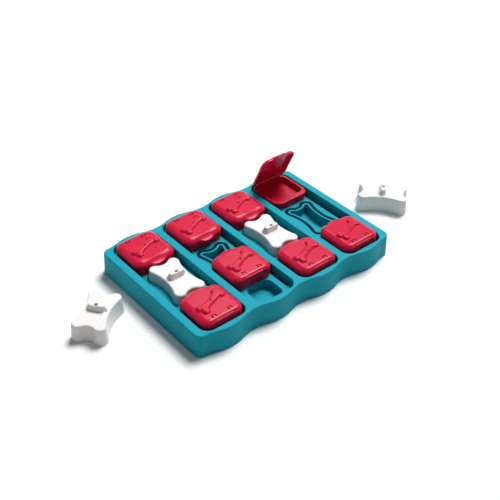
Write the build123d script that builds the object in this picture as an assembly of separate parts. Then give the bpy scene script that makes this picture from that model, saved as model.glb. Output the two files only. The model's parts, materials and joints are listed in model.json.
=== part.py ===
from build123d import *
import os
from math import asin, atan, atan2, cos, degrees, hypot, radians, sin, sqrt

# Dog puzzle feeder: a wavy tray with four lanes. Each lane has a treat pocket at each end and one
# in the middle. Two flip-lid boxes slide along each lane over the end pockets, and a bone-shaped
# cover sits over the middle pocket, its skirt down in a groove round it.
# The tray is one moulding. It is made as a shell, lane walls, lane floors, cups and seats that
# meet face to face.
# Millimetres. X runs across the lanes, +Y along them to the back, +Z up, z = 0 is the floor.
# The origin is under the middle of the tray.

# tray
lane_count = 4
lane_gap = 11.4             # between two lanes
lane_corner_r = 13.0
end_margin = 13.0           # from the outer lanes to the straight ends, at the bottom edge
side_margin = 6.9           # from the lanes' ends to the middle line of the wavy sides
wave_height = 3.25          # crest or hollow of the wavy sides, from that middle line
tray_corner_r = 11.0
tray_top_z = 32.4
tray_draft = 1.5            # how far each side leans in by the top
tray_wall = 2.6
deck_t = 2.6
tray_edge_r = 2.0
lane_edge_r = 1.4
platform_z = 22.0           # the face that the boxes slide on
platform_t = 2.6
lane_wall_t = 2.4
lane_wall_foot_z = 4.6
slot_end_gap = 12.5         # from the end of the lane to the end of each side slot
slot_end_r = 2.4
web_width = 12.0            # bridge from the bone seat to the lane wall, across each slot
web_top_z = 14.0
web_t = 5.0

# pockets
pocket_size = 38.0
pocket_corner_r = 12.0
pocket_end_gap = 4.5        # from the end of the lane to its end pocket
pocket_floor_z = 9.0
pocket_wall = 2.2
pocket_edge_r = 0.8
groove_floor_z = 11.5
ring_t = 3.0                # wall between the groove and the middle pocket

# bone cover
bone_length = 71.2
bone_width = 44.4
bone_waist = 34.4
bone_notch = 5.0            # depth of the hollow in each end
bone_lobe_r = 8.4
bone_height = 24.0
bone_wall = 1.6
bone_top_t = 2.0
bone_edge_r = 2.0
bone_seat_gap = 1.4         # between the skirt and each side of its groove
bone_rest_gap = 0.2
grip_length = 21.0
grip_width = 7.0
grip_height = 8.0
grip_wall = 2.0
grip_edge_r = 2.2
grip_hole_r = 2.0

# sliding box
box_width = 60.6
box_length = 58.9
box_corner_r = 12.6
box_side_wall = 3.3
box_front_wall = 7.3
box_back_wall = 4.2
box_floor_t = 2.2
box_rim_z = 33.0
box_edge_r = 0.8
box_cavity_r = 9.0
slide_gap = 0.25            # between the box and the platform
box_side_gap = 2.8          # between the box and the lane's sides
box_end_gap = 3.0           # between the back of the box and the end of the lane
box_bone_gap = 4.0          # between the front of the box and the bone cover
rail_t = 1.5
rail_gap = 0.4              # between the rail and the platform's edge
rail_inset = 0.3            # from the side of the box to the rail
rail_length = 30.0
rail_lip = 1.6
rail_lip_t = 2.1
rail_lip_gap = 0.4          # between the lip and the platform's underside

# lid
lid_overhang = 0.2          # past each side of the box
lid_lip = 4.7               # from the front of the box to the tip of the lip
lid_corner_r = 12.6
lip_r = 22.0
lip_blend_r = 12.0
lid_back_inset = 0.2        # hinge edge of the lid, from the back of the box
lid_gap = 0.3
lid_side_h = 0.6
lid_steep_rise = 3.6        # steep part of the rounded edge
lid_steep_inset = 1.8
lid_flat_rise = 3.6         # flatter part, up to the plateau
lid_flat_inset = 6.2
crease_length = 9.4         # from the crease, where the slope starts, to the tip of the lip
lip_tip_h = 2.5             # thickness of the lip's tip
lid_t = 2.0
lid_round_r = 3.0           # between the steep part and the flatter one
lid_plateau_r = 1.6
window_width = 5.5
window_length = 4.4
window_x = 12.0
window_y = 7.4
window_slit = 0.9

# bone figure on the lid
figure_length = 45.8
figure_knob_r = 5.0
figure_knob_gap = 9.6
figure_waist = 9.0
figure_h = 1.6
figure_edge_r = 1.2
figure_angle = 22.5
figure_y = 30.0
scent_hole_r = 1.1

# lid hinge
barrel_r = 2.4
knuckle_length = 27.2
hinge_side_gap = 0.4
pin_r = 1.1
pin_clearance = 0.08
pin_length = 4.0
ear_t = 3.2
heel_clearance = 0.2        # between the lid's rounded heel and its hinge edge
ear_skin = 0.05             # left on the ears where the heel is cut away

# feet
foot_r = 6.0
foot_t = 2.4
foot_proud = 0.8
foot_edge_r = 0.5
foot_gap = 0.1
boss_wall = 2.0

# where the loose pieces are
front_box_travel = [0.0, 38.0, 0.0, 0.0]    # how far each front box is pushed to the back
open_lid_lane = 4
open_lid_angle = 66.0
seated_bone_lanes = [1, 3]
seated_bone_turn = -1.5
left_bone = (-220.0, 20.2, -52.4)           # x, y and turn of the bone that lies to the left
right_bone = (241.2, -18.0, 40.5)

# cutting and picking
over = 1.0                  # how far a cutting tool runs past the face that it cuts
near = 0.01                 # closer than this counts as the same place

# worked out
tray_floor_z = foot_proud
deck_under_z = tray_top_z - deck_t
platform_under_z = platform_z - platform_t
lane_width = box_width + 2 * box_side_gap
lane_length = 2 * (box_end_gap + box_length + box_bone_gap) + bone_length
lane_pitch = lane_width + lane_gap
lane_xs = [(i - (lane_count - 1) / 2) * lane_pitch for i in range(lane_count)]
half_lane = lane_width / 2
half_platform = box_width / 2 - rail_inset - rail_t - rail_gap
pocket_y = lane_length / 2 - pocket_end_gap - pocket_size / 2
pocket_low_z = pocket_floor_z - pocket_wall
slot_end_y = lane_length / 2 - slot_end_gap
boss_r = foot_r + foot_gap + boss_wall
foot_places = [(0, 0)]
for x in (lane_xs[0], lane_xs[-1]):
    for y in (-pocket_y, pocket_y):
        foot_places.append((x, y))
groove_out = bone_seat_gap
groove_in = -bone_wall - bone_seat_gap
bone_base_z = groove_floor_z + bone_rest_gap
box_floor_z = platform_z + slide_gap
box_back_y = lane_length / 2 - box_end_gap
hinge_edge_y = box_back_y - lid_back_inset
lid_width = box_width + 2 * lid_overhang
lid_shoulder = box_length - lid_back_inset + lid_overhang
lid_length = box_length - lid_back_inset + lid_lip
lid_base_z = box_rim_z + lid_gap
lid_steep_z = lid_base_z + lid_side_h
lid_flat_z = lid_steep_z + lid_steep_rise
lid_top_z = lid_flat_z + lid_flat_rise
crease_y = lid_length - crease_length
hinge_y = barrel_r + heel_clearance
hinge_z = lid_base_z + barrel_r
notch_half = knuckle_length / 2 + hinge_side_gap
up = (0, 0, 1)


def polar(centre, radius, angle):
    return (centre[0] + radius * cos(angle), centre[1] + radius * sin(angle))


def arc(centre, radius, start, end):
    """Arc about a centre from one angle to another, in radians."""
    middle = (start + end) / 2
    return ThreePointArc(polar(centre, radius, start), polar(centre, radius, middle),
                         polar(centre, radius, end))


def at_height(edge, z):
    """Whether an edge lies flat at a height."""
    box = edge.bounding_box()
    return abs(box.min.Z - z) < near and abs(box.max.Z - z) < near


def prism(face, low, high):
    """Solid over a flat face, between two heights."""
    return extrude(Pos(0, 0, low) * face, amount=high - low, dir=up)


def rounded_plate(width, length, radius, low, high):
    return prism(RectangleRounded(width, length, radius), low, high)


def wavy_face(inset):
    """Plan of the tray at its bottom edge, moved inwards by inset: straight ends and wavy sides."""
    quarter = lane_pitch / 4
    wave_r = (quarter ** 2 + wave_height ** 2) / (2 * wave_height)
    middle = lane_length / 2 + side_margin
    end_x = lane_xs[-1] + half_lane + end_margin - inset
    crest_r = wave_r - inset
    hollow_r = wave_r + inset
    crest_cy = middle + wave_height - wave_r
    hollow_cy = middle - wave_height + wave_r
    lean = atan2(hollow_cy - crest_cy, lane_pitch / 2)
    edges = []
    for i, x in enumerate(lane_xs):
        if i > 0:
            edges.append(arc((x - lane_pitch / 2, hollow_cy), hollow_r, -radians(180) + lean, -lean))
        edges.append(arc((x, crest_cy), crest_r, radians(180) - lean, lean))
    last_x = lane_xs[-1] + lane_pitch / 2
    end_angle = -radians(90) + asin((end_x - last_x) / hollow_r)
    edges.append(arc((last_x, hollow_cy), hollow_r, -radians(180) + lean, end_angle))
    edges.insert(0, edges[-1].mirror(Plane.YZ))
    back_start = edges[0] @ 1
    back_end = edges[-1] @ 1
    sides = edges + [edge.mirror(Plane.XZ) for edge in edges]
    sides.append(Line(back_end, (back_end.X, -back_end.Y)))
    sides.append(Line(back_start, (back_start.X, -back_start.Y)))
    face = make_face(Curve() + sides)
    return fillet(face.vertices().filter_by(lambda v: abs(v.X) > end_x - over), tray_corner_r - inset)


def bone_face(grow):
    """Plan of a bone cover, long axis along Y, moved outwards by grow."""
    lobe_x = bone_width / 2 - bone_lobe_r
    lobe_y = bone_length / 2 - bone_lobe_r
    waist_step = bone_waist / 2 - lobe_x
    notch_step = bone_length / 2 - bone_notch - lobe_y
    waist_r = (lobe_y ** 2 + waist_step ** 2 - bone_lobe_r ** 2) / (2 * (bone_lobe_r - waist_step))
    notch_r = (lobe_x ** 2 + notch_step ** 2 - bone_lobe_r ** 2) / (2 * (bone_lobe_r - notch_step))
    waist_c = (bone_waist / 2 + waist_r, 0)
    notch_c = (0, bone_length / 2 - bone_notch + notch_r)
    waist_lean = atan2(lobe_y, waist_c[0] - lobe_x)
    notch_lean = atan2(lobe_x, notch_c[1] - lobe_y)
    lobe = arc((lobe_x, lobe_y), bone_lobe_r + grow, -waist_lean, radians(90) + notch_lean)
    lobes = [lobe, lobe.mirror(Plane.YZ)]
    lobes += [edge.mirror(Plane.XZ) for edge in lobes]
    waist = arc(waist_c, waist_r - grow, radians(180) - waist_lean, radians(180) + waist_lean)
    notch = arc(notch_c, notch_r - grow, -radians(90) - notch_lean, -radians(90) + notch_lean)
    return make_face(Curve() + lobes + [waist, waist.mirror(Plane.YZ), notch, notch.mirror(Plane.XZ)])


def lid_face(inset):
    """Plan of a lid, hinge edge on y = 0 and lip towards +Y, moved inwards by inset."""
    half = lid_width / 2
    corner_c = (half - lid_corner_r, lid_shoulder - lid_corner_r)
    back_c = (half - lid_corner_r, lid_corner_r)
    lip_c = (0, lid_length - lip_r)
    reach_a = lid_corner_r + lip_blend_r
    reach_b = lip_r + lip_blend_r
    dx = lip_c[0] - corner_c[0]
    dy = lip_c[1] - corner_c[1]
    gap = hypot(dx, dy)
    along = (reach_a ** 2 - reach_b ** 2 + gap ** 2) / (2 * gap)
    off = sqrt(reach_a ** 2 - along ** 2)
    blend_c = (corner_c[0] + (dx * along + dy * off) / gap, corner_c[1] + (dy * along - dx * off) / gap)
    corner_end = atan2(blend_c[1] - corner_c[1], blend_c[0] - corner_c[0])
    lip_end = atan2(blend_c[1] - lip_c[1], blend_c[0] - lip_c[0])
    corner_r = lid_corner_r - inset
    right = [
        Line((0, inset), (back_c[0], inset)),
        arc(back_c, corner_r, -radians(90), 0),
        Line((half - inset, back_c[1]), (half - inset, corner_c[1])),
        arc(corner_c, corner_r, 0, corner_end),
        arc(blend_c, lip_blend_r + inset, corner_end - radians(180), lip_end - radians(180)),
        arc(lip_c, lip_r - inset, lip_end, radians(90)),
    ]
    return make_face(Curve() + right + [edge.mirror(Plane.YZ) for edge in right])


def lane_plan(grow):
    """Plan of a lane, moved outwards by grow."""
    return RectangleRounded(lane_width + 2 * grow, lane_length + 2 * grow, lane_corner_r + grow)


def tray():
    """Shell, open below: a wavy skirt and the deck round the lanes."""
    lean = degrees(atan(tray_draft / (tray_top_z - tray_floor_z)))
    body = extrude(Pos(0, 0, tray_floor_z) * wavy_face(0), amount=tray_top_z - tray_floor_z, taper=lean)
    body = fillet(body.edges().filter_by(lambda e: at_height(e, tray_top_z)), tray_edge_r)
    body -= prism(wavy_face(tray_wall + tray_draft), 0, deck_under_z)
    for x in lane_xs:
        body -= Pos(x, 0, 0) * prism(lane_plan(lane_wall_t), lane_wall_foot_z, deck_under_z)
        body -= Pos(x, 0, 0) * prism(lane_plan(0), deck_under_z - over, tray_top_z + over)
    rims = body.edges().filter_by(lambda e: at_height(e, tray_top_z))
    return fillet(rims.filter_by(lambda e: abs(e.center().Y) < lane_length / 2 + near
                                 and abs(e.center().X) < lane_xs[-1] + half_lane + near), lane_edge_r)


def lane_wall():
    """Wall round one lane, hanging from the deck."""
    ring = lane_plan(lane_wall_t) - lane_plan(0)
    return prism(ring, lane_wall_foot_z, deck_under_z)


def is_mouth(edge):
    """Whether an edge of a lane floor is the mouth of a pocket, groove or slot."""
    x = abs(edge.center().X)
    y = abs(edge.center().Y)
    by_slots = x < half_lane - near and y < slot_end_y + near
    by_pocket = x < pocket_size / 2 and y < lane_length / 2 - near
    return at_height(edge, platform_z) and (by_slots or by_pocket)


def lane_floor():
    """Platform of one lane, with two side slots and the mouths of its pockets."""
    slot_width = 2 * (half_lane - half_platform)
    slot = rounded_plate(slot_width, 2 * slot_end_y, slot_end_r, platform_under_z, platform_z)
    pocket = RectangleRounded(pocket_size, pocket_size, pocket_corner_r)
    floor = prism(lane_plan(0), platform_under_z, platform_z)
    floor -= prism(bone_face(groove_out), platform_under_z, platform_z)
    for side in (-1, 1):
        floor -= Pos(0, side * pocket_y, 0) * prism(pocket, platform_under_z, platform_z)
        floor -= Pos(side * half_lane, 0, 0) * slot
    return fillet(floor.edges().filter_by(is_mouth), pocket_edge_r)


def pocket_cup():
    """Cup of an end pocket, below the platform."""
    shell = pocket_size + 2 * pocket_wall
    cup = rounded_plate(shell, shell, pocket_corner_r + pocket_wall, pocket_low_z, platform_under_z)
    pocket = RectangleRounded(pocket_size, pocket_size, pocket_corner_r)
    return cup - prism(pocket, pocket_floor_z, platform_under_z + over)


def bone_seat():
    """Outer wall and floor of the groove that a bone cover stands in, with a bridge to each lane wall."""
    outer = bone_face(groove_out + pocket_wall)
    seat = prism(outer, groove_floor_z - pocket_wall, platform_under_z)
    seat += prism(Rectangle(lane_width, web_width), web_top_z - web_t, web_top_z)
    seat -= prism(bone_face(groove_in), 0, platform_z)
    return seat - prism(bone_face(groove_out), groove_floor_z, platform_z)


def middle_cup():
    """Middle pocket, whose wall rises to the platform inside the groove."""
    cup = prism(bone_face(groove_in), pocket_low_z, platform_z)
    cup -= prism(bone_face(groove_in - ring_t), pocket_floor_z, platform_z + over)
    return fillet(cup.edges().filter_by(lambda e: at_height(e, platform_z)), pocket_edge_r)


def foot_boss(top):
    """Round boss with the recess of a foot in its lower end."""
    boss = prism(Circle(boss_r), tray_floor_z, top)
    return boss - prism(Circle(foot_r + foot_gap), 0, foot_t)


def centre_boss():
    """Boss of the middle foot, on a rib that hangs from the deck between the two middle lanes."""
    rib = Rectangle(lane_gap - 2 * lane_wall_t, 2 * boss_r)
    return foot_boss(lane_wall_foot_z) + prism(rib, lane_wall_foot_z, deck_under_z)


def foot():
    """Rubber disc that stands proud of the tray's bottom edge."""
    disc = prism(Circle(foot_r), 0, foot_t)
    return fillet(disc.edges().sort_by(Axis.Z)[0], foot_edge_r)


def bone():
    """Hollow bone-shaped cover, open below, with a grip across its waist."""
    top = bone_base_z + bone_height
    body = prism(bone_face(0), bone_base_z, top)
    body = fillet(body.edges().filter_by(lambda e: at_height(e, top)), bone_edge_r)
    grip = prism(SlotOverall(grip_length, grip_width), top - over, top + grip_height)
    body += fillet(grip.edges().filter_by(lambda e: at_height(e, top + grip_height)), grip_edge_r)
    body -= prism(bone_face(-bone_wall), bone_base_z - over, top - bone_top_t)
    core = SlotOverall(grip_length - 2 * grip_wall, grip_width - 2 * grip_wall)
    body -= prism(core, top - bone_top_t - over, top + grip_height - grip_wall)
    return body - prism(Circle(grip_hole_r), top - over, top + grip_height + over)


def hinge_rod(radius, start, end):
    """Round bar on the hinge axis, between two places along X."""
    return Pos(start, hinge_y, hinge_z) * extrude(Plane.YZ * Circle(radius), amount=end - start)


def slide_box():
    """Open box with a hinge knuckle on its back rim, and a hooked rail down each side."""
    back = -lid_back_inset
    plan = Pos(0, back + box_length / 2) * RectangleRounded(box_width, box_length, box_corner_r)
    body = prism(plan, box_floor_z, box_rim_z)
    rim = body.edges().filter_by(lambda e: at_height(e, box_rim_z))
    body = fillet(rim, box_edge_r)
    cavity_length = box_length - box_front_wall - box_back_wall
    cavity_y = back + box_back_wall + cavity_length / 2
    cavity = Pos(0, cavity_y) * RectangleRounded(box_width - 2 * box_side_wall, cavity_length, box_cavity_r)
    body -= prism(cavity, box_floor_z + box_floor_t, box_rim_z + over)
    knuckle = hinge_rod(barrel_r, -knuckle_length / 2, knuckle_length / 2)
    stem = Pos(0, hinge_y) * Rectangle(knuckle_length, 2 * barrel_r)
    knuckle += prism(stem, box_rim_z - box_edge_r - over, hinge_z)
    body += knuckle
    body -= hinge_rod(pin_r + pin_clearance, -knuckle_length / 2 - over, knuckle_length / 2 + over)
    rail_y = back + box_length / 2
    rail_in = half_platform + rail_gap
    lip_top = platform_under_z - rail_lip_gap
    rail = Pos(rail_in + rail_t / 2, rail_y) * Rectangle(rail_t, rail_length)
    lip_width = rail_t + rail_gap + rail_lip
    lip = Pos(rail_in + rail_t - lip_width / 2, rail_y) * Rectangle(lip_width, rail_length)
    side = prism(rail, lip_top - rail_lip_t, box_floor_z + over) + prism(lip, lip_top - rail_lip_t, lip_top)
    return body + side + side.mirror(Plane.YZ)


def lid_dome(inset, base, drop):
    """Domed block of the lid's plan: a rounded edge up to the plateau, and a slope down to the lip."""
    steep_lean = degrees(atan(lid_steep_inset / lid_steep_rise))
    flat_lean = degrees(atan(lid_flat_inset / lid_flat_rise))
    flat_z = lid_flat_z - drop
    dome = prism(lid_face(inset), base, lid_steep_z - drop)
    dome += extrude(Pos(0, 0, lid_steep_z - drop) * lid_face(inset), amount=lid_steep_rise, taper=steep_lean)
    dome += extrude(Pos(0, 0, flat_z) * lid_face(inset + lid_steep_inset), amount=lid_flat_rise,
                    taper=flat_lean)
    dome = fillet(dome.edges().filter_by(lambda e: at_height(e, flat_z)), lid_round_r)
    fall = lid_top_z - lid_base_z - lip_tip_h
    top = lid_top_z - drop
    wedge = Polyline((crease_y, top), (crease_y + 2 * crease_length, top - 2 * fall),
                     (crease_y + 2 * crease_length, top + fall), (crease_y, top + fall), close=True)
    wedge = extrude(Plane.YZ * make_face(wedge), amount=lid_width, both=True)
    return dome - wedge


def lid():
    """Shell lid with a raised bone figure, a gap for the knuckle and a pin in each side of it."""
    dome = lid_dome(0, lid_base_z, 0)
    across = dome.edges().filter_by(lambda e: abs(e.center().Y - crease_y) < near)
    dome = fillet(across.filter_by(lambda e: at_height(e, lid_top_z)), lid_plateau_r)
    shell = dome + figure() - lid_dome(lid_t, lid_base_z - over, lid_t)
    gap = Rectangle(2 * notch_half, 2 * (hinge_y + barrel_r + hinge_side_gap))
    shell -= prism(gap, lid_base_z - over, hinge_z)
    shell -= hinge_rod(barrel_r + hinge_side_gap, -notch_half, notch_half)
    ear_start = notch_half
    ear = hinge_rod(barrel_r, ear_start, ear_start + ear_t)
    ear += hinge_rod(pin_r, ear_start - pin_length, ear_start + over)
    shell += ear + ear.mirror(Plane.YZ)
    heel = Pos(0, hinge_y / 2 - over / 2) * Rectangle(lid_width, hinge_y + over)
    kept = hinge_rod(barrel_r + ear_skin, -lid_width / 2, lid_width / 2)
    shell -= prism(heel, lid_base_z - over, hinge_z) - kept
    for side in (-1, 1):
        shell -= Pos(side * window_x, window_y, 0) * window()
    hole = Pos(0, figure_y) * Circle(scent_hole_r)
    return shell - prism(hole, lid_base_z, lid_top_z + figure_h + over)


def figure():
    """Raised dog-bone figure: two knobs at each end of a shaft that is narrow in the middle."""
    knob_x = figure_length / 2 - figure_knob_r
    end_y = figure_knob_gap / 2 + figure_knob_r / 2
    side = ThreePointArc((-knob_x, end_y), (0, figure_waist / 2), (knob_x, end_y))
    end = Line((knob_x, end_y), (knob_x, -end_y))
    plan = make_face(Curve() + [side, side.mirror(Plane.XZ), end, end.mirror(Plane.YZ)])
    for x in (-knob_x, knob_x):
        for y in (-figure_knob_gap / 2, figure_knob_gap / 2):
            plan += Pos(x, y) * Circle(figure_knob_r)
    top = lid_top_z + figure_h
    raised = prism(plan, lid_top_z - over, top)
    raised = fillet(raised.edges().filter_by(lambda e: at_height(e, top)), figure_edge_r)
    return Pos(0, figure_y, 0) * Rot(0, 0, figure_angle) * raised


def window():
    """Three-sided slit round a small tongue."""
    slit = Rectangle(window_width, window_length)
    tongue_length = window_length - window_slit
    slit -= Pos(0, -window_slit / 2) * Rectangle(window_width - 2 * window_slit, tongue_length)
    return prism(slit, lid_base_z, lid_top_z + over)


def front_place(lane):
    return Pos(lane_xs[lane - 1], -hinge_edge_y + front_box_travel[lane - 1], 0)


def back_place(lane):
    return Pos(lane_xs[lane - 1], hinge_edge_y, 0) * Rot(0, 0, 180)


def save(shape, name):
    shape.label = name
    export_step(shape, "parts/" + name + ".step")


os.makedirs("parts", exist_ok=True)
save(tray(), "tray")
save(centre_boss(), "centre_boss")

wall_shape = lane_wall()
floor_shape = lane_floor()
seat_shape = bone_seat()
middle_shape = middle_cup()
cup_shape = pocket_cup()
footed_cup_shape = cup_shape + foot_boss(pocket_low_z)
for lane, x in enumerate(lane_xs, 1):
    save(Pos(x, 0, 0) * wall_shape, "lane_wall_" + str(lane))
    save(Pos(x, 0, 0) * floor_shape, "lane_floor_" + str(lane))
    save(Pos(x, 0, 0) * seat_shape, "bone_seat_" + str(lane))
    save(Pos(x, 0, 0) * middle_shape, "middle_cup_" + str(lane))
    cup = footed_cup_shape if lane in (1, lane_count) else cup_shape
    save(Pos(x, -pocket_y, 0) * cup, "pocket_cup_front_" + str(lane))
    save(Pos(x, pocket_y, 0) * cup, "pocket_cup_back_" + str(lane))

box_shape = slide_box()
lid_shape = lid()
open_lid_shape = lid_shape.rotate(Axis((0, hinge_y, hinge_z), (1, 0, 0)), open_lid_angle)
for lane in range(1, lane_count + 1):
    save(front_place(lane) * box_shape, "slide_box_front_" + str(lane))
    save(back_place(lane) * box_shape, "slide_box_back_" + str(lane))
    save(front_place(lane) * lid_shape, "flip_lid_front_" + str(lane))
    back_lid = open_lid_shape if lane == open_lid_lane else lid_shape
    save(back_place(lane) * back_lid, "flip_lid_back_" + str(lane))

bone_shape = bone()
for lane in seated_bone_lanes:
    save(Pos(lane_xs[lane - 1], 0, 0) * Rot(0, 0, seated_bone_turn) * bone_shape, "bone_lane_" + str(lane))
for side, (x, y, turn) in (("left", left_bone), ("right", right_bone)):
    save(Pos(x, y, -bone_base_z) * Rot(0, 0, turn) * bone_shape, "bone_loose_" + side)

foot_shape = foot()
for number, (x, y) in enumerate(foot_places, 1):
    save(Pos(x, y, 0) * foot_shape, "foot_" + str(number))
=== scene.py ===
import json
import math

import bmesh
import bpy
import numpy as np
from mathutils import Matrix, Vector


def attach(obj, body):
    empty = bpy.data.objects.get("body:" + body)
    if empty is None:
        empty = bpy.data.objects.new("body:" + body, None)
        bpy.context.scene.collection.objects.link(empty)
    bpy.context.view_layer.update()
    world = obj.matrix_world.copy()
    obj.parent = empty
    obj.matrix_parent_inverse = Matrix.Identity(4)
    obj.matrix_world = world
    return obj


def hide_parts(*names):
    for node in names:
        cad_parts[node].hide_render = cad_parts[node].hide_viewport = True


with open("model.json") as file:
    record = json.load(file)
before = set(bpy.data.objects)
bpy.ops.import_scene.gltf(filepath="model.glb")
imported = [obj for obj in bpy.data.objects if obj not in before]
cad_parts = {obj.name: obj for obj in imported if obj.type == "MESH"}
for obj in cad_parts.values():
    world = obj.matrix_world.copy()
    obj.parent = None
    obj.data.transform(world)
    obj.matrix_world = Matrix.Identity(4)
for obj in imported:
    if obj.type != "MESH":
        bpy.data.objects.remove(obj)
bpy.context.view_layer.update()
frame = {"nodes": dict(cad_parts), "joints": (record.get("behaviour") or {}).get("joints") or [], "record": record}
scene = bpy.context.scene
mm = 0.001


def addNode(tree, kind, place=(0, 0), **settings):
    node = tree.nodes.new(kind)
    node.location = place
    for name, value in settings.items():
        setattr(node, name, value)
    return node


def maths(tree, operation, first, second=None, clamp=False):
    node = addNode(tree, "ShaderNodeMath", operation=operation, use_clamp=clamp)
    for socket, value in zip(node.inputs, (first, second)):
        if value is None:
            continue
        if isinstance(value, (int, float)):
            socket.default_value = value
        else:
            tree.links.new(value, socket)
    return node.outputs[0]


def newGroup(name, inputs, outputs):
    # inputs are (name, kind, default), outputs are (name, kind)
    tree = bpy.data.node_groups.new(name, "ShaderNodeTree")
    for label, kind, default in inputs:
        socket = tree.interface.new_socket(label, in_out="INPUT", socket_type="NodeSocket" + kind)
        if default is not None:
            socket.default_value = default
    for label, kind in outputs:
        tree.interface.new_socket(label, in_out="OUTPUT", socket_type="NodeSocket" + kind)
    start = addNode(tree, "NodeGroupInput", (-900, 0))
    end = addNode(tree, "NodeGroupOutput", (900, 0))
    return tree, start, end


def placeGroup(tree, group, values, place=(-600, 0)):
    node = addNode(tree, "ShaderNodeGroup", place, node_tree=group)
    for label, value in values.items():
        node.inputs[label].default_value = value
    return node


def spread(tree, fac, low, high, place=(0, 0)):
    # a value from low to high as fac goes from 0 to 1
    node = addNode(tree, "ShaderNodeMapRange", place)
    node.inputs["To Min"].default_value = low
    node.inputs["To Max"].default_value = high
    tree.links.new(fac, node.inputs["Value"])
    return node.outputs["Result"]


def mixColours(tree, fac, first, second, place=(0, 0)):
    node = addNode(tree, "ShaderNodeMix", place, data_type="RGBA")
    for socket, value in ((node.inputs[0], fac), (node.inputs[6], first), (node.inputs[7], second)):
        if isinstance(value, bpy.types.NodeSocket):
            tree.links.new(value, socket)
        elif isinstance(value, tuple):
            socket.default_value = (*value, 1)
        else:
            socket.default_value = value
    return node.outputs[2]


# Skin of moulded plastic: a fine grain, a soft orange peel, cloudy tone and a few hairline scuffs.
skinSettings = {
    "grainDetail": 2.0, "peelDetail": 1.0, "cloudDetail": 3.0, "scuffDetail": 1.0,
    "scuffTurn": (0.4, 0.3, 0.8), "scuffStretch": (40, 900, 900), "scuffFrom": 0.70, "scuffTo": 0.80,
}


def makeMouldedSkin():
    tree, start, end = newGroup(
        "mouldedSkin",
        [("Grain Size", "Float", 0.0006), ("Peel Size", "Float", 0.004), ("Peel Share", "Float", 0.4),
         ("Cloud Size", "Float", 0.04), ("Scuff Amount", "Float", 0.3)],
        [("Height", "Float"), ("Cloud", "Float"), ("Scuffs", "Float")])
    coords = addNode(tree, "ShaderNodeTexCoord", (-900, 300)).outputs["Object"]

    def noise(size, detail, place):
        node = addNode(tree, "ShaderNodeTexNoise", place)
        node.inputs["Detail"].default_value = detail
        tree.links.new(coords, node.inputs["Vector"])
        tree.links.new(maths(tree, "DIVIDE", 1.0, size), node.inputs["Scale"])
        return node.outputs["Fac"]

    grain = noise(start.outputs["Grain Size"], skinSettings["grainDetail"], (-500, 300))
    peel = noise(start.outputs["Peel Size"], skinSettings["peelDetail"], (-500, 100))
    cloud = noise(start.outputs["Cloud Size"], skinSettings["cloudDetail"], (-500, -100))
    height = addNode(tree, "ShaderNodeMix", (0, 200))
    tree.links.new(start.outputs["Peel Share"], height.inputs[0])
    tree.links.new(grain, height.inputs[2])
    tree.links.new(peel, height.inputs[3])

    # scuffs: the peaks of a noise that is drawn out along one way
    stretched = addNode(tree, "ShaderNodeMapping", (-700, -400))
    stretched.inputs["Rotation"].default_value = skinSettings["scuffTurn"]
    stretched.inputs["Scale"].default_value = skinSettings["scuffStretch"]
    tree.links.new(coords, stretched.inputs["Vector"])
    scratch = addNode(tree, "ShaderNodeTexNoise", (-500, -400))
    scratch.inputs["Scale"].default_value = 1.0
    scratch.inputs["Detail"].default_value = skinSettings["scuffDetail"]
    tree.links.new(stretched.outputs["Vector"], scratch.inputs["Vector"])
    lines = addNode(tree, "ShaderNodeMapRange", (-200, -400))
    lines.inputs["From Min"].default_value = skinSettings["scuffFrom"]
    lines.inputs["From Max"].default_value = skinSettings["scuffTo"]
    tree.links.new(scratch.outputs["Fac"], lines.inputs["Value"])
    scuffs = maths(tree, "MULTIPLY", lines.outputs["Result"], start.outputs["Scuff Amount"])
    tree.links.new(height.outputs[0], end.inputs["Height"])
    tree.links.new(cloud, end.inputs["Cloud"])
    tree.links.new(scuffs, end.inputs["Scuffs"])
    return tree


# Soft edges: the normal of a slightly rounded edge, and a mask that is 1 on the edge itself.
# The mask goes by the cosine between the rounded and the plain normal.
edgeSettings = {"samples": 6, "flatAt": 0.98, "turnedAt": 0.80}


def makeSoftEdges():
    tree, start, end = newGroup("softEdges", [("Radius", "Float", 0.0006)],
                                [("Normal", "Vector"), ("Edge", "Float")])
    bevel = addNode(tree, "ShaderNodeBevel", (-400, 0), samples=edgeSettings["samples"])
    tree.links.new(start.outputs["Radius"], bevel.inputs["Radius"])
    flat = addNode(tree, "ShaderNodeNewGeometry", (-400, -200)).outputs["Normal"]
    dot = addNode(tree, "ShaderNodeVectorMath", (-100, -100), operation="DOT_PRODUCT")
    tree.links.new(bevel.outputs["Normal"], dot.inputs[0])
    tree.links.new(flat, dot.inputs[1])
    turned = addNode(tree, "ShaderNodeMapRange", (200, -100))
    turned.inputs["From Min"].default_value = edgeSettings["flatAt"]
    turned.inputs["From Max"].default_value = edgeSettings["turnedAt"]
    tree.links.new(dot.outputs["Value"], turned.inputs["Value"])
    tree.links.new(bevel.outputs["Normal"], end.inputs["Normal"])
    tree.links.new(turned.outputs["Result"], end.inputs["Edge"])
    return tree


# Dust that settles in corners that face up, and a mask of how deep in a corner a place lies; the mask also drives
# the painted shade in hollows.
dustAndShadeSettings = {"samples": 6, "speckScale": 700.0}


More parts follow.
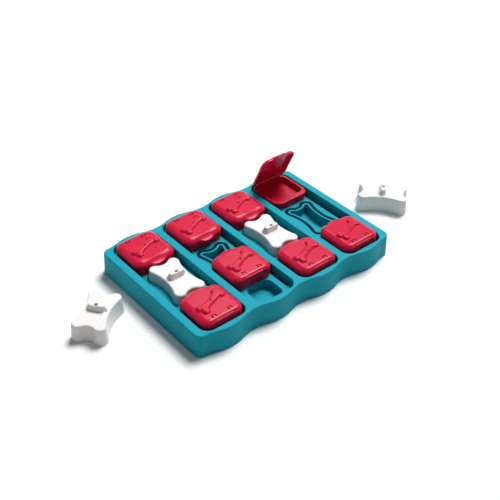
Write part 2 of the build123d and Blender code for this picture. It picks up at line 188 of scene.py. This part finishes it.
def makeCornerDustAndShade():
    tree, start, end = newGroup("cornerDustAndShade", [("Reach", "Float", 0.006), ("Amount", "Float", 0.2)],
                                [("Dust", "Float"), ("Corner", "Float")])
    shade = addNode(tree, "ShaderNodeAmbientOcclusion", (-500, 0), samples=dustAndShadeSettings["samples"])
    tree.links.new(start.outputs["Reach"], shade.inputs["Distance"])
    corner = maths(tree, "SUBTRACT", 1.0, shade.outputs["AO"], clamp=True)
    tree.links.new(corner, end.inputs["Corner"])
    normal = addNode(tree, "ShaderNodeNewGeometry", (-700, -250)).outputs["Normal"]
    facing = addNode(tree, "ShaderNodeSeparateXYZ", (-500, -250))
    tree.links.new(normal, facing.inputs[0])
    upward = maths(tree, "MAXIMUM", facing.outputs["Z"], 0.0)
    coords = addNode(tree, "ShaderNodeTexCoord", (-700, -450)).outputs["Object"]
    speck = addNode(tree, "ShaderNodeTexNoise", (-500, -450))
    speck.inputs["Scale"].default_value = dustAndShadeSettings["speckScale"]
    tree.links.new(coords, speck.inputs["Vector"])
    dust = maths(tree, "MULTIPLY", maths(tree, "MULTIPLY", corner, upward), speck.outputs["Fac"])
    tree.links.new(maths(tree, "MULTIPLY", dust, start.outputs["Amount"], clamp=True), end.inputs["Dust"])
    return tree


mouldedSkin = makeMouldedSkin()
softEdges = makeSoftEdges()
cornerDustAndShade = makeCornerDustAndShade()
print("shader groups ready")

# painted shade: the tray's colour is darkened in its lanes, slots and grooves, as far as ambient occlusion finds
# them
trayFinish = {
    "deep": (0.0022, 0.330, 0.428), "light": (0.0034, 0.375, 0.476), "edge": (0.010, 0.46, 0.52),
    "dust": (0.05, 0.36, 0.42), "roughLow": 0.46, "roughHigh": 0.60, "grainHeight": 0.00005,
    "grain": 0.0011, "peel": 0.005, "peelShare": 0.35, "edgeRadius": 0.0, "dustAmount": 0.15,
    "specular": 0.14, "scuffs": 0.25, "paintedHollowShade": 0.45, "paintedShadeReach": 0.022, "paintedShadeDark": 0.12,
}
# painted shade: the lid's colour is darkened round the raised bone, the windows and the scent hole
lidFinish = {
    "deep": (0.62, 0.0025, 0.042), "light": (0.70, 0.0040, 0.054), "edge": (0.85, 0.02, 0.08),
    "dust": (0.80, 0.20, 0.24), "roughLow": 0.20, "roughHigh": 0.28, "grainHeight": 0.000015,
    "grain": 0.0012, "peel": 0.006, "peelShare": 0.7, "edgeRadius": 0.0004, "dustAmount": 0.15,
    "specular": 0.16, "scuffs": 0.35, "paintedHollowShade": 1.0, "paintedShadeReach": 0.0045, "paintedShadeDark": 0.35,
}
boxFinish = {
    "deep": (0.50, 0.004, 0.030), "light": (0.58, 0.006, 0.038), "edge": (0.66, 0.03, 0.07),
    "dust": (0.55, 0.15, 0.18), "roughLow": 0.26, "roughHigh": 0.38, "grainHeight": 0.00003,
    "grain": 0.0012, "peel": 0.006, "peelShare": 0.6, "edgeRadius": 0.0005, "dustAmount": 0.15,
    "specular": 0.25, "scuffs": 0.3, "paintedHollowShade": 0.0,
}
boneFinish = {
    "deep": (0.83, 0.825, 0.81), "light": (0.885, 0.88, 0.87), "edge": (0.93, 0.93, 0.92),
    "dust": (0.66, 0.63, 0.57), "roughLow": 0.34, "roughHigh": 0.46, "grainHeight": 0.00004,
    "grain": 0.0010, "peel": 0.005, "peelShare": 0.4, "edgeRadius": 0.0005, "dustAmount": 0.25,
    "specular": 0.3, "scuffs": 0.2, "paintedHollowShade": 0.0,
}
footFinish = {
    "deep": (0.020, 0.020, 0.022), "light": (0.035, 0.035, 0.038), "edge": (0.07, 0.07, 0.07),
    "dust": (0.20, 0.19, 0.18), "roughLow": 0.70, "roughHigh": 0.88, "grainHeight": 0.00008,
    "grain": 0.0008, "peel": 0.003, "peelShare": 0.2, "edgeRadius": 0.0003, "dustAmount": 0.6,
    "specular": 0.3, "scuffs": 0.2, "paintedHollowShade": 0.0,
}

# how far the edge colour shows, what scuffs and dust add to the roughness, and the value of the
# painted shade mask in the open, below 0 so that the painted shade only darkens a real hollow
wearAndShadeShares = {"rubbed": 0.5, "scuffRough": 0.2, "dustRough": 0.5, "paintedShadeFrom": -0.35}


def mouldedPlastic(name, finish):
    material = bpy.data.materials.new(name)
    material.use_nodes = True
    tree = material.node_tree
    shader = tree.nodes["Principled BSDF"]
    skin = placeGroup(tree, mouldedSkin, {
        "Grain Size": finish["grain"], "Peel Size": finish["peel"], "Peel Share": finish["peelShare"],
        "Scuff Amount": finish["scuffs"]}, (-900, 0))
    dust = placeGroup(tree, cornerDustAndShade, {"Amount": finish["dustAmount"]}, (-900, -500))
    colour = mixColours(tree, skin.outputs["Cloud"], finish["deep"], finish["light"], (-600, 200))
    edges = None
    if finish["edgeRadius"] > 0:
        edges = placeGroup(tree, softEdges, {"Radius": finish["edgeRadius"]}, (-900, -300))
        rubbed = maths(tree, "MULTIPLY", edges.outputs["Edge"], wearAndShadeShares["rubbed"])
        colour = mixColours(tree, rubbed, colour, finish["edge"], (-400, 200))
    colour = mixColours(tree, dust.outputs["Dust"], colour, finish["dust"], (-200, 200))
    # painted shade: where an ambient occlusion mask finds a hollow, the base colour is mixed towards a darker copy
    # of the deep colour
    if finish["paintedHollowShade"] > 0:
        hollow = placeGroup(tree, cornerDustAndShade, {"Reach": finish["paintedShadeReach"]}, (-900, -700))
        depth = spread(tree, hollow.outputs["Corner"], wearAndShadeShares["paintedShadeFrom"] * finish["paintedHollowShade"],
                       finish["paintedHollowShade"])
        dark = tuple(channel * finish["paintedShadeDark"] for channel in finish["deep"])
        colour = mixColours(tree, maths(tree, "MAXIMUM", depth, 0.0, clamp=True), colour, dark, (0, 300))
    tree.links.new(colour, shader.inputs["Base Color"])
    rough = spread(tree, skin.outputs["Cloud"], finish["roughLow"], finish["roughHigh"], (-600, -100))
    scuffed = maths(tree, "MULTIPLY", skin.outputs["Scuffs"], wearAndShadeShares["scuffRough"])
    dusty = maths(tree, "MULTIPLY", dust.outputs["Dust"], wearAndShadeShares["dustRough"])
    rough = maths(tree, "ADD", maths(tree, "ADD", rough, scuffed), dusty, clamp=True)
    tree.links.new(rough, shader.inputs["Roughness"])
    bump = addNode(tree, "ShaderNodeBump", (-200, -300))
    bump.inputs["Strength"].default_value = 1.0
    bump.inputs["Distance"].default_value = finish["grainHeight"]
    tree.links.new(skin.outputs["Height"], bump.inputs["Height"])
    if edges:
        tree.links.new(edges.outputs["Normal"], bump.inputs["Normal"])
    tree.links.new(bump.outputs["Normal"], shader.inputs["Normal"])
    shader.inputs["Specular IOR Level"].default_value = finish["specular"]
    return material


trayTeal = mouldedPlastic("trayTeal", trayFinish)
lidRed = mouldedPlastic("lidRed", lidFinish)
boxRed = mouldedPlastic("boxRed", boxFinish)
boneWhite = mouldedPlastic("boneWhite", boneFinish)
footRubber = mouldedPlastic("footRubber", footFinish)
slotMaterials = {"teal_plastic": trayTeal, "lid_plastic": lidRed, "red_plastic": boxRed,
                 "white_plastic": boneWhite, "foot_rubber": footRubber}
slotOf = {part["node"]: part["material_slot"] for part in frame["record"]["subparts"]}
for nodeName, nodeObject in frame["nodes"].items():
    nodeObject.data.materials.clear()
    nodeObject.data.materials.append(slotMaterials[slotOf[nodeName]])
print("materials ready")

# Lid, seen from its hinge edge at y = 0 with the lip towards +Y, in millimetres above the floor.
lidShape = {
    "halfWidth": 30.5, "shoulder": 58.9, "length": 63.4, "cornerRadius": 12.6, "lipRadius": 22.0,
    "blendRadius": 12.0, "base": 33.3, "sideTop": 33.9, "top": 40.2, "wall": 2.0,
    "edgeReach": 8.8, "hingeReach": 5.4, "tightUntil": 3.0, "wideFrom": 15.0, "edgeBulge": 1.75,
    "creaseAt": 54.0, "lipTop": 35.2, "lipBend": 1.45, "creaseSoftness": 0.35,
    "hingeY": 2.6, "hingeZ": 35.7, "barrelRadius": 2.4, "gapHalf": 14.0, "gapRadius": 2.9,
    "gapPast": 0.5, "gapBottom": 32.0, "pinRadius": 1.1, "pinLength": 4.0, "pinRoot": 0.3, "earLength": 2.5,
    "cutBottom": 36.2, "cutTop": 44.0,
}
lidFigure = {
    "centre": (0.0, 30.0), "angle": 22.5, "knobX": 17.9, "knobY": 4.3, "knobRadius": 5.3, "waist": 5.0,
    "endSpread": 1.6, "endCut": 4.0, "blend": 1.3, "height": 3.1, "shoulder": 3.8, "domePower": 2.6,
    "domeShare": 0.8, "hole": 1.2,
}
lidWindow = {"x": 12.0, "y": 8.0, "width": 6.2, "length": 5.0, "slit": 1.1}
# how finely the lid is meshed: points along its outline, then rings
lidSteps = {
    "hinge": 26, "hingeCorner": 30, "side": 28, "lipCorner": 28, "blend": 10, "lip": 24,
    "wallRings": 4, "edgeRings": 24, "topRings": 56, "innerEdgeRings": 14, "innerTopRings": 8,
    "edgeBand": 9.0, "crowding": 1.6, "smallest": 0.02, "holeSides": 24, "pinSides": 32,
}


def lidOutline(inset):
    # closed loop of points round the lid, moved inwards; the number of points never changes
    half, corner = lidShape["halfWidth"], lidShape["cornerRadius"]
    cornerX, cornerY = half - corner, lidShape["shoulder"] - corner
    lipY = lidShape["length"] - lidShape["lipRadius"]

    # a hollow arc blends the corner's arc into the lip's: its centre is where two circles cross
    reachA = corner + lidShape["blendRadius"]
    reachB = lidShape["lipRadius"] + lidShape["blendRadius"]
    dx, dy = -cornerX, lipY - cornerY
    apart = math.hypot(dx, dy)
    along = (reachA ** 2 - reachB ** 2 + apart ** 2) / (2 * apart)
    off = math.sqrt(reachA ** 2 - along ** 2)
    blendX = cornerX + (dx * along + dy * off) / apart
    blendY = cornerY + (dy * along - dx * off) / apart
    cornerEnd = math.atan2(blendY - cornerY, blendX - cornerX)
    lipEnd = math.atan2(blendY - lipY, blendX)

    def line(start, finish, count):
        part = np.linspace(0, 1, count, endpoint=False)[:, None]
        return np.array(start) * (1 - part) + np.array(finish) * part

    def arc(x, y, radius, start, finish, count):
        turn = np.linspace(start, finish, count, endpoint=False)
        return np.stack([x + radius * np.cos(turn), y + radius * np.sin(turn)], axis=1)

    right = np.concatenate([
        line((0, inset), (cornerX, inset), lidSteps["hinge"]),
        arc(cornerX, corner, corner - inset, -math.pi / 2, 0, lidSteps["hingeCorner"]),
        line((half - inset, corner), (half - inset, cornerY), lidSteps["side"]),
        arc(cornerX, cornerY, corner - inset, 0, cornerEnd, lidSteps["lipCorner"]),
        arc(blendX, blendY, lidShape["blendRadius"] + inset, cornerEnd + math.pi, lipEnd + math.pi,
            lidSteps["blend"]),
        arc(0, lipY, lidShape["lipRadius"] - inset, lipEnd, math.pi / 2, lidSteps["lip"]),
        [(0, lidShape["length"] - inset)]])
    left = right[-2:0:-1] * (-1, 1)
    return np.concatenate([right, left])


def smallerOf(first, second, softness):
    # the lower of two heights, with a short round between them
    middle = np.clip(0.5 + (second - first) / (2 * softness), 0, 1)
    return second * (1 - middle) + first * middle - softness * middle * (1 - middle)


def lidEdge(points, inset):
    # the round of the edge is tight at the hinge and wide everywhere else
    tight = lidShape["tightUntil"]
    wide = np.clip((points[:, 1] - tight) / (lidShape["wideFrom"] - tight), 0, 1)
    reach = lidShape["hingeReach"] + (lidShape["edgeReach"] - lidShape["hingeReach"]) * wide
    across = np.clip(1 - inset / reach, 0, 1)
    bulge = lidShape["edgeBulge"]
    return (lidShape["top"] - lidShape["sideTop"]) * (1 - across ** bulge) ** (1 / bulge)


def lidSurface(points, inset, drop):
    # past the crease the lip falls steeply, then levels out
    past = (points[:, 1] - lidShape["creaseAt"]) / (lidShape["length"] - lidShape["creaseAt"])
    bend = lidShape["lipBend"]
    fall = np.where(past < 0, past * bend, 1 - (1 - np.clip(past, 0, 1)) ** bend)
    slope = lidShape["top"] - drop - (lidShape["top"] - lidShape["lipTop"]) * fall
    rounded = lidShape["sideTop"] - drop + lidEdge(points, inset)
    return smallerOf(rounded, slope, lidShape["creaseSoftness"])


def figureHeight(points):
    # two knobs at each end of a shaft that is narrow in the middle, with a domed cross-section
    turn = math.radians(lidFigure["angle"])
    away = points - lidFigure["centre"]
    x = away[:, 0] * math.cos(turn) + away[:, 1] * math.sin(turn)
    y = np.abs(away[:, 1] * math.cos(turn) - away[:, 0] * math.sin(turn))
    fromEnd = np.clip(np.abs(x) / lidFigure["knobX"], 0, 1)
    past = np.clip(np.abs(x) - lidFigure["knobX"], 0, None)
    shaft = lidFigure["waist"] + lidFigure["endSpread"] * fromEnd ** 2 - y - lidFigure["endCut"] * past
    knob = lidFigure["knobRadius"] - np.hypot(np.abs(x) - lidFigure["knobX"], y - lidFigure["knobY"])
    depth = -smallerOf(-shaft, -knob, lidFigure["blend"])
    share = np.clip(depth / lidFigure["shoulder"], 0, 1)
    return lidFigure["height"] * (1 - (1 - share) ** lidFigure["domePower"]) ** lidFigure["domeShare"]


def lidRings(firstInset, edgeCount, middleCount):
    # rings that follow the outline over the edge band, crowded at its start, then shrink to the middle
    crowded = np.linspace(0, 1, edgeCount) ** lidSteps["crowding"]
    rings = [(lidOutline(inset), inset) for inset in firstInset + lidSteps["edgeBand"] * crowded]
    last = rings[-1][0]
    middle = np.array((0.0, lidShape["length"] / 2))
    for scale in np.linspace(1, lidSteps["smallest"], middleCount)[1:]:
        rings.append((middle + (last - middle) * scale, lidShape["edgeReach"] + 1))  # past the round
    return rings


def lidMesh():
    layers = []
    outline = lidOutline(0.0)
    for height in np.linspace(lidShape["base"], lidShape["sideTop"], lidSteps["wallRings"])[:-1]:
        layers.append((outline, np.full(len(outline), height)))
    for points, inset in lidRings(0.0, lidSteps["edgeRings"], lidSteps["topRings"]):
        layers.append((points, lidSurface(points, inset, 0) + figureHeight(points)))
    outerCount = len(layers)
    for points, inset in lidRings(lidShape["wall"], lidSteps["innerEdgeRings"], lidSteps["innerTopRings"]):
        height = lidSurface(points, inset - lidShape["wall"], lidShape["wall"])
        layers.append((points, np.maximum(height, lidShape["base"])))

    # below the hinge the edge is rolled round it, so that the lid can turn
    rolled = []
    for points, heights in layers:
        low = np.clip(lidShape["hingeZ"] - heights, 0, lidShape["hingeY"])
        heel = lidShape["hingeY"] - np.sqrt(lidShape["hingeY"] ** 2 - low ** 2)
        rolled.append((np.stack([points[:, 0], np.maximum(points[:, 1], heel)], axis=1), heights))
    return shellMesh("lidShell", rolled, outerCount)


def shellMesh(name, layers, outerCount):
    # closed shell: rings of the outside up to outerCount, then rings of the inside from its rim
    vertices = [np.column_stack([points, heights]) for points, heights in layers]
    count = len(vertices[0])
    faces = []

    def band(first, second):
        for here in range(count):
            there = (here + 1) % count
            faces.append((first * count + here, first * count + there, second * count + there,
                          second * count + here))

    for layer in range(outerCount - 1):
        band(layer, layer + 1)
    for layer in range(outerCount, len(layers) - 1):
        band(layer + 1, layer)
    band(outerCount, 0)
    faces.append(tuple(range((outerCount - 1) * count, outerCount * count)))
    faces.append(tuple(reversed(range((len(layers) - 1) * count, len(layers) * count))))
    mesh = bpy.data.meshes.new(name)
    mesh.from_pydata((np.concatenate(vertices) * mm).tolist(), [], faces)
    facing = bmesh.new()
    facing.from_mesh(mesh)
    bmesh.ops.recalc_face_normals(facing, faces=facing.faces)
    facing.to_mesh(mesh)
    facing.free()
    return mesh


def addPrism(cutter, profile, axis, low, high):
    # a closed prism of a flat profile, along x or z
    rows = []
    for level in (low, high):
        rows.append([cutter.verts.new(Vector((level, a, b) if axis == "x" else (a, b, level)) * mm)
                     for a, b in profile])
    size = len(profile)
    cutter.faces.new(rows[0][::-1])
    cutter.faces.new(rows[1])
    for here in range(size):
        there = (here + 1) % size
        cutter.faces.new((rows[0][here], rows[0][there], rows[1][there], rows[1][here]))


def circlePoints(x, y, radius, count, start=0.0, finish=2 * math.pi):
    whole = finish - start >= 2 * math.pi
    turns = np.linspace(start, finish, count, endpoint=not whole)
    return [(x + radius * math.cos(turn), y + radius * math.sin(turn)) for turn in turns]


def cutWith(shell, cutter):
    # a copy of the shell's mesh with the cutter's prisms taken out
    bmesh.ops.recalc_face_normals(cutter, faces=cutter.faces)
    mesh = bpy.data.meshes.new("cutter")
    cutter.to_mesh(mesh)
    cutter.free()
    tool = bpy.data.objects.new("cutter", mesh)
    for piece in (shell, tool):
        scene.collection.objects.link(piece)
    cut = shell.modifiers.new("cut", "BOOLEAN")
    cut.operation = "DIFFERENCE"
    cut.solver = "EXACT"
    cut.use_self = True
    cut.object = tool
    bpy.context.view_layer.update()
    cutMesh = bpy.data.meshes.new_from_object(shell.evaluated_get(bpy.context.evaluated_depsgraph_get()))
    for piece in (shell, tool):
        bpy.data.objects.remove(piece)
    return cutMesh


sharpAngle = 38  # degrees between faces, above which an edge stays sharp


def finishMesh(mesh, material):
    mesh.shade_smooth()
    mesh.set_sharp_from_angle(angle=math.radians(sharpAngle))
    mesh.materials.clear()
    mesh.materials.append(material)


def lidCutter():
    # the gap for the box's knuckle, the two windows and the scent hole
    cutter = bmesh.new()
    hingeY, hingeZ, radius = lidShape["hingeY"], lidShape["hingeZ"], lidShape["gapRadius"]
    outside = hingeY - radius - lidShape["gapPast"]
    gap = [(outside, lidShape["gapBottom"]), (hingeY + radius, lidShape["gapBottom"])]
    gap += circlePoints(hingeY, hingeZ, radius, lidSteps["holeSides"], 0, math.pi)
    gap += [(outside, hingeZ)]
    addPrism(cutter, gap, "x", -lidShape["gapHalf"], lidShape["gapHalf"])
    depth = ("z", lidShape["cutBottom"], lidShape["cutTop"])
    halfX, halfY, slit = lidWindow["width"] / 2, lidWindow["length"] / 2, lidWindow["slit"]
    y = lidWindow["y"]
    for x in (-lidWindow["x"], lidWindow["x"]):
        window = [(x - halfX, y - halfY), (x - halfX + slit, y - halfY),
                  (x - halfX + slit, y + halfY - slit), (x + halfX - slit, y + halfY - slit),
                  (x + halfX - slit, y - halfY), (x + halfX, y - halfY),
                  (x + halfX, y + halfY), (x - halfX, y + halfY)]
        addPrism(cutter, window, *depth)
    hole = circlePoints(*lidFigure["centre"], lidFigure["hole"], lidSteps["holeSides"])
    addPrism(cutter, hole, *depth)
    return cutter


def makeLidMesh():
    shell = bpy.data.objects.new("lidShell", lidMesh())
    cutMesh = cutWith(shell, lidCutter())

    # at each end of the gap, an ear and the pin that it holds
    pins = bmesh.new()
    pins.from_mesh(cutMesh)
    for side in (-1, 1):
        start = side * lidShape["gapHalf"]
        for radius, away, near in ((lidShape["barrelRadius"], lidShape["earLength"], 0.0),
                                   (lidShape["pinRadius"], lidShape["pinRoot"], -lidShape["pinLength"])):
            profile = circlePoints(lidShape["hingeY"], lidShape["hingeZ"], radius, lidSteps["pinSides"])
            ends = sorted((start + side * near, start + side * away))
            addPrism(pins, profile, "x", *ends)
    bmesh.ops.recalc_face_normals(pins, faces=pins.faces)
    pins.to_mesh(cutMesh)
    pins.free()
    cutMesh.name = "flipLid"
    finishMesh(cutMesh, lidRed)
    return cutMesh


def placeLids(mesh):
    # each lid hangs on its own hinge, as far open as it is at rest
    for joint in frame["joints"]:
        if not joint["name"].startswith("lid_"):
            continue
        node = "flip_" + joint["name"]
        hinge = Vector(joint["pos_m"])
        turn = Matrix.Rotation(math.pi if joint["axis"][0] < 0 else 0.0, 4, "Z")
        opened = math.radians(-joint["range_deg"][0])
        toHinge = Matrix.Translation((0, -lidShape["hingeY"] * mm, -lidShape["hingeZ"] * mm))
        lid = bpy.data.objects.new(node + "_moulded", mesh)
        lid.matrix_world = Matrix.Translation(hinge) @ turn @ Matrix.Rotation(opened, 4, "X") @ toHinge
        scene.collection.objects.link(lid)
        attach(lid, joint["child"])
        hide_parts(node)


placeLids(makeLidMesh())
print("lids ready")

# Bone cover, long axis along y, in millimetres above the face that it stands on.
boneShape = {
    "lobeX": 13.8, "lobeY": 27.2, "lobeRadius": 8.4, "waist": 17.2, "end": 30.6, "height": 24.0,
    "flare": 1.1, "topInset": 0.7, "topRound": 2.4, "wall": 1.6, "topThickness": 2.0,
}
boneGrip = {
    "halfLength": 10.5, "halfWidth": 3.5, "height": 8.0, "frontFoot": 1.2, "backFoot": 4.5,
    "crownReach": 1.8, "crownShare": 0.12, "innerShare": 0.8, "hole": 2.3, "holeFrom": 25.0, "holeTo": 40.0,
}
# how finely the bone is meshed: points along a quarter of its outline, then rings
boneSteps = {
    "waist": 20, "lobe": 34, "end": 18, "sideRings": 9, "roundRings": 9, "topRings": 64,
    "innerRings": 30, "smallest": 0.01, "holeSides": 24,
}


def boneOutline(grow):
    # closed loop of points round the bone, moved outwards; the number of points never changes
    lobeX, lobeY, radius = boneShape["lobeX"], boneShape["lobeY"], boneShape["lobeRadius"]

    # the hollow arcs of the waist and the end touch the lobes' arcs
    waistStep = boneShape["waist"] - lobeX
    endStep = boneShape["end"] - lobeY
    waistRadius = (lobeY ** 2 + waistStep ** 2 - radius ** 2) / (2 * (radius - waistStep))
    endRadius = (lobeX ** 2 + endStep ** 2 - radius ** 2) / (2 * (radius - endStep))
    waistX = boneShape["waist"] + waistRadius
    endY = boneShape["end"] + endRadius
    waistLean = math.atan2(lobeY, waistX - lobeX)
    endLean = math.atan2(lobeX, endY - lobeY)

    def arc(x, y, size, start, finish, count, endpoint=False):
        turn = np.linspace(start, finish, count, endpoint=endpoint)
        return np.stack([x + size * np.cos(turn), y + size * np.sin(turn)], axis=1)

    quarter = np.concatenate([
        arc(waistX, 0.0, waistRadius - grow, math.pi, math.pi - waistLean, boneSteps["waist"]),
        arc(lobeX, lobeY, radius + grow, -waistLean, math.pi / 2 + endLean, boneSteps["lobe"]),
        arc(0.0, endY, endRadius - grow, endLean - math.pi / 2, -math.pi / 2, boneSteps["end"], True)])
    half = np.concatenate([quarter, quarter[-2:0:-1] * (-1, 1)])
    return np.concatenate([half, [(-quarter[0, 0], 0.0)], half[:0:-1] * (1, -1)])


def gripHeight(points):
    # a ridge across the waist, steep at the front and with a longer foot at the back
    x = np.abs(points[:, 0])
    y = points[:, 1]
    along = np.clip(x - boneGrip["halfLength"] + boneGrip["halfWidth"], 0, None)
    past = np.hypot(along, y) - boneGrip["halfWidth"]
    foot = np.where(y < 0, boneGrip["frontFoot"], boneGrip["backFoot"])
    share = np.clip(past / foot, 0, 1)
    inside = np.clip(-past / boneGrip["crownReach"], 0, 1)
    crown = (1 - (1 - inside) ** 2) * boneGrip["crownShare"]
    return boneGrip["height"] * ((1 - share) ** 2 * (1 - boneGrip["crownShare"]) + crown)


def boneLayers():
    # rings of the outside from the foot up, then of the inside from the top down
    layers = []
    side = boneShape["height"] - boneShape["topRound"]
    for share in np.linspace(0, 1, boneSteps["sideRings"]):
        outline = boneOutline(boneShape["flare"] - (boneShape["flare"] + boneShape["topInset"]) * share)
        layers.append((outline, np.full(len(outline), share * side)))
    for turn in np.linspace(0, math.pi / 2, boneSteps["roundRings"])[1:]:
        inset = boneShape["topInset"] + boneShape["topRound"] * (1 - math.cos(turn))
        outline = boneOutline(-inset)
        layers.append((outline, np.full(len(outline), side + boneShape["topRound"] * math.sin(turn))))
    last = boneOutline(-boneShape["topInset"] - boneShape["topRound"])
    for scale in np.linspace(1, boneSteps["smallest"], boneSteps["topRings"])[1:]:
        layers.append((last * scale, boneShape["height"] + gripHeight(last * scale)))
    outerCount = len(layers)
    roof = boneShape["height"] - boneShape["topThickness"]
    foot = boneOutline(boneShape["flare"] - boneShape["wall"])
    under = boneOutline(-boneShape["topInset"] - boneShape["wall"])
    layers.append((foot, np.zeros(len(foot))))
    layers.append((under, np.full(len(under), roof)))
    inner = boneGrip["innerShare"]
    for scale in np.linspace(1, boneSteps["smallest"], boneSteps["innerRings"])[1:]:
        layers.append((under * scale, roof + inner * gripHeight(under * scale / inner)))
    return layers, outerCount


def makeBoneMesh():
    layers, outerCount = boneLayers()
    shell = bpy.data.objects.new("boneShell", shellMesh("boneShell", layers, outerCount))
    cutter = bmesh.new()
    hole = circlePoints(0, 0, boneGrip["hole"], boneSteps["holeSides"])
    addPrism(cutter, hole, "z", boneGrip["holeFrom"], boneGrip["holeTo"])
    cutMesh = cutWith(shell, cutter)
    cutMesh.name = "boneCover"
    finishMesh(cutMesh, boneWhite)
    return cutMesh


# where each bone stands, in metres, and its turn in degrees
seatedFoot = 0.0117
bonePlaces = {
    "bone_lane_1": (-0.1164, 0.0, seatedFoot, -1.5), "bone_lane_3": (0.0388, 0.0, seatedFoot, -1.5),
    "bone_loose_left": (-0.2200, 0.0202, 0.0, -52.4), "bone_loose_right": (0.2412, -0.0180, 0.0, 40.5),
}


def placeBones(mesh):
    for node, (x, y, z, turn) in bonePlaces.items():
        cover = bpy.data.objects.new(node + "_moulded", mesh)
        cover.matrix_world = Matrix.Translation((x, y, z)) @ Matrix.Rotation(math.radians(turn), 4, "Z")
        scene.collection.objects.link(cover)
        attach(cover, node + "_body")
        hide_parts(node)


placeBones(makeBoneMesh())
print("bones ready")

# white where the floor is seen, grey for the light that it throws back
floorSettings = {"size": 6.0, "rough": 0.9, "white": 1.0, "grey": 0.75}


def seenDirectly(tree):
    # 1 for what the camera sees, straight or in a reflection, and 0 for the light that it throws
    path = addNode(tree, "ShaderNodeLightPath", (-800, -300))
    seen = maths(tree, "MAXIMUM", path.outputs["Is Camera Ray"], path.outputs["Is Glossy Ray"])
    return maths(tree, "MAXIMUM", seen, path.outputs["Is Transmission Ray"])


def makeFloor():
    half = floorSettings["size"] / 2
    mesh = bpy.data.meshes.new("floor")
    corners = [(-half, -half, 0), (half, -half, 0), (half, half, 0), (-half, half, 0)]
    mesh.from_pydata(corners, [], [(0, 1, 2, 3)])
    floor = bpy.data.objects.new("floor", mesh)
    scene.collection.objects.link(floor)
    material = bpy.data.materials.new("paleFloor")
    material.use_nodes = True
    tree = material.node_tree
    shader = tree.nodes["Principled BSDF"]
    shader.inputs["Roughness"].default_value = floorSettings["rough"]
    shader.inputs["Specular IOR Level"].default_value = 0.0
    grey = (floorSettings["grey"],) * 3
    white = (floorSettings["white"],) * 3
    colour = mixColours(tree, seenDirectly(tree), grey, white, (-300, 0))
    tree.links.new(colour, shader.inputs["Base Color"])
    mesh.materials.append(material)


worldLight = {"fill": 0.16, "seen": 1.0}


def makeWorld():
    world = bpy.data.worlds.new("studio")
    scene.world = world
    world.use_nodes = True
    tree = world.node_tree
    background = tree.nodes["Background"]
    background.inputs["Color"].default_value = (1, 1, 1, 1)
    strength = spread(tree, seenDirectly(tree), worldLight["fill"], worldLight["seen"])
    tree.links.new(strength, background.inputs["Strength"])


keyLight = {"towards": (0.55, 0.16, 1.0), "strength": 3.1, "angle": 26}
softBox = {"place": (0.62, 0.67, 1.0), "width": 0.48, "depth": 0.50, "power": 3.2}


def makeKeyLight():
    light = bpy.data.lights.new("key", "SUN")
    light.energy = keyLight["strength"]
    light.angle = math.radians(keyLight["angle"])
    lamp = bpy.data.objects.new("key", light)
    lamp.rotation_euler = Vector(keyLight["towards"]).to_track_quat("Z", "Y").to_euler()
    scene.collection.objects.link(lamp)


def makeSoftBox():
    # hangs level behind the toy, where the front row of lids mirrors it
    light = bpy.data.lights.new("softBox", "AREA")
    light.shape = "RECTANGLE"
    light.size = softBox["width"]
    light.size_y = softBox["depth"]
    light.energy = softBox["power"]
    lamp = bpy.data.objects.new("softBox", light)
    lamp.location = softBox["place"]
    lamp.visible_camera = False
    scene.collection.objects.link(lamp)


cameraSettings = {"lens": 59.46, "sensor": 36.0, "place": (-0.5670, -0.6523, 0.6887),
                  "aim": (0.0190, 0.0183, 0.0), "roll": 1.70}


def makeCamera():
    data = bpy.data.cameras.new("camera")
    data.lens = cameraSettings["lens"]
    data.sensor_width = cameraSettings["sensor"]
    camera = bpy.data.objects.new("camera", data)
    place = Vector(cameraSettings["place"])
    facing = (Vector(cameraSettings["aim"]) - place).to_track_quat("-Z", "Y").to_matrix().to_4x4()
    turn = Matrix.Rotation(math.radians(cameraSettings["roll"]), 4, "Z")
    camera.matrix_world = Matrix.Translation(place) @ facing @ turn
    scene.collection.objects.link(camera)
    scene.camera = camera


makeFloor()
makeWorld()
makeKeyLight()
makeSoftBox()
makeCamera()
scene.view_settings.view_transform = "Standard"
print("floor, light and camera ready")
